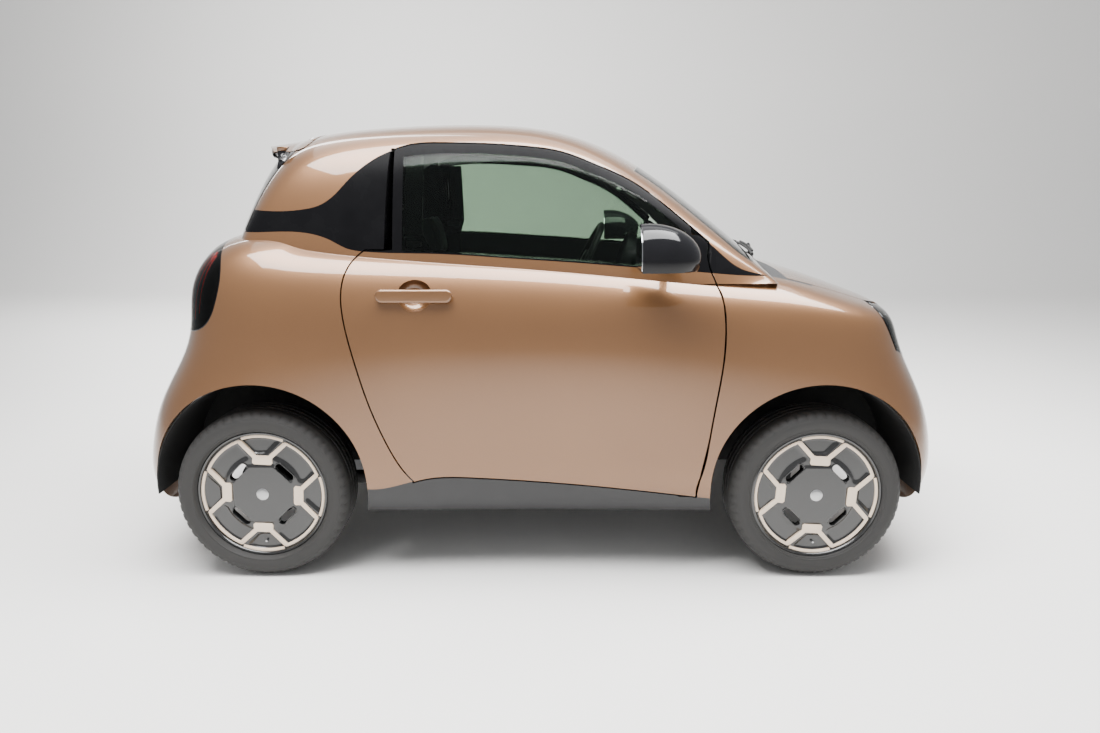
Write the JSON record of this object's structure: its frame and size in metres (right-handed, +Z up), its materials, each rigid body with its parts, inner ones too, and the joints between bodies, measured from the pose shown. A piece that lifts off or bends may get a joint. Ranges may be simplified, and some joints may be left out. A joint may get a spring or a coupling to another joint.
{
  "type": "microcar",
  "caption": "Two-seat electric microcar with doors, lifting rear window, drop-down tailgate, steered front wheels and turning wheels.",
  "frame": {"origin": "on the ground, midway between the axles, on the middle plane of the car", "axes": "+X forward, +Y to the car's left, +Z up"},
  "size_m": [2.823, 1.9748, 1.5409],
  "materials": {
    "paint": "pearl champagne paint, clear coated",
    "gloss_black": "gloss",
    "trim_black": "fine grain",
    "window_glass": "tinted",
    "lamp_clear": "clear lens over bright insides",
    "lamp_red": "dark red lens",
    "tyre": "matt",
    "wheel_black": "gloss black with pale lines",
    "frame_grey": "primer grey",
    "hinge_steel": "satin",
    "gear_iron": "cast",
    "motor_metal": "cast",
    "pack_case": "matt",
    "seat_cloth": "woven",
    "cabin_plastic": "soft grain",
    "wheel_rim": "smooth"
  },
  "bodies": {
    "body": {"roof_shell": "paint", "windscreen": "window_glass", "quarter_windows": "gloss_black", "bonnet": "paint", "headlamps": "lamp_clear", "tail_lamps": "lamp_red", "sill_covers": "trim_black", "rear_bumper": "paint", "grille": "trim_black", "front_bumper": "paint", "cowl": "trim_black", "front_wings": "paint", "rear_quarters": "paint", "floor_frame": "frame_grey", "fixed_hinges": "hinge_steel", "wheelhouse_liners": "trim_black", "front_subframe": "gear_iron", "rear_axle": "gear_iron", "motor_block": "motor_metal", "battery_pack": "pack_case", "seats": "seat_cloth", "dashboard": "cabin_plastic"},
    "door_right": {"door_right_panel": "paint", "door_right_frame": "gloss_black", "door_right_window": "window_glass", "door_right_handle": "trim_black", "door_right_mirror": "gloss_black"},
    "door_left": {"door_left_panel": "paint", "door_left_frame": "gloss_black", "door_left_window": "window_glass", "door_left_handle": "trim_black", "door_left_mirror": "gloss_black"},
    "hatch": {"hatch_frame": "paint", "hatch_window": "window_glass"},
    "gate": {"tailgate": "paint"},
    "carrier_right": {"knuckle_right": "gear_iron"},
    "carrier_left": {"knuckle_left": "gear_iron"},
    "wheel_front_right": {"rim_front_right": "wheel_black", "tyre_front_right": "tyre"},
    "wheel_front_left": {"rim_front_left": "wheel_black", "tyre_front_left": "tyre"},
    "wheel_rear_right": {"rim_rear_right": "wheel_black", "tyre_rear_right": "tyre"},
    "wheel_rear_left": {"rim_rear_left": "wheel_black", "tyre_rear_left": "tyre"},
    "steering": {"steering_wheel": "wheel_rim"}
  },
  "joints": [
    {"name": "door_right_swing", "type": "hinge", "parent": "body", "child": "door_right", "pos_m": [0.505, -0.78, 0.6], "axis": [0, 0, 1], "range_deg": [0, 65]},
    {"name": "door_left_swing", "type": "hinge", "parent": "body", "child": "door_left", "pos_m": [0.505, 0.78, 0.6], "axis": [0, 0, -1], "range_deg": [0, 65]},
    {"name": "hatch_lift", "type": "hinge", "parent": "body", "child": "hatch", "pos_m": [-0.83249, 0, 1.47862], "axis": [0, 1, 0], "range_deg": [0, 80]},
    {"name": "gate_drop", "type": "hinge", "parent": "body", "child": "gate", "pos_m": [-1.32846, 0, 0.61423], "axis": [0, -1, 0], "range_deg": [0, 90]},
    {"name": "steer_left", "type": "hinge", "parent": "body", "child": "carrier_left", "pos_m": [0.9365, 0.675, 0.292], "axis": [0, 0, 1], "range_deg": [-38, 38]},
    {"name": "steer_right", "type": "hinge", "parent": "body", "child": "carrier_right", "pos_m": [0.9365, -0.675, 0.292], "axis": [0, 0, 1], "range_deg": [-38, 38]},
    {"name": "steering_turn", "type": "hinge", "parent": "body", "child": "steering", "pos_m": [0.19, 0.33, 0.985], "axis": [-0.8988, 0, 0.4384], "range_deg": [-540, 540]},
    {"name": "spin_front_right", "type": "hinge", "parent": "carrier_right", "child": "wheel_front_right", "pos_m": [0.9365, -0.7245, 0.292], "axis": [0, 1, 0], "continuous": true},
    {"name": "spin_front_left", "type": "hinge", "parent": "carrier_left", "child": "wheel_front_left", "pos_m": [0.9365, 0.7245, 0.292], "axis": [0, 1, 0], "continuous": true},
    {"name": "spin_rear_right", "type": "hinge", "parent": "body", "child": "wheel_rear_right", "pos_m": [-0.9365, -0.7145, 0.292], "axis": [0, 1, 0], "continuous": true},
    {"name": "spin_rear_left", "type": "hinge", "parent": "body", "child": "wheel_rear_left", "pos_m": [-0.9365, 0.7145, 0.292], "axis": [0, 1, 0], "continuous": true}
  ],
  "couplings": [
    {"joint": "steer_right", "follows": "steer_left", "ratio": 1},
    {"joint": "steering_turn", "follows": "steer_left", "ratio": 14}
  ]
}
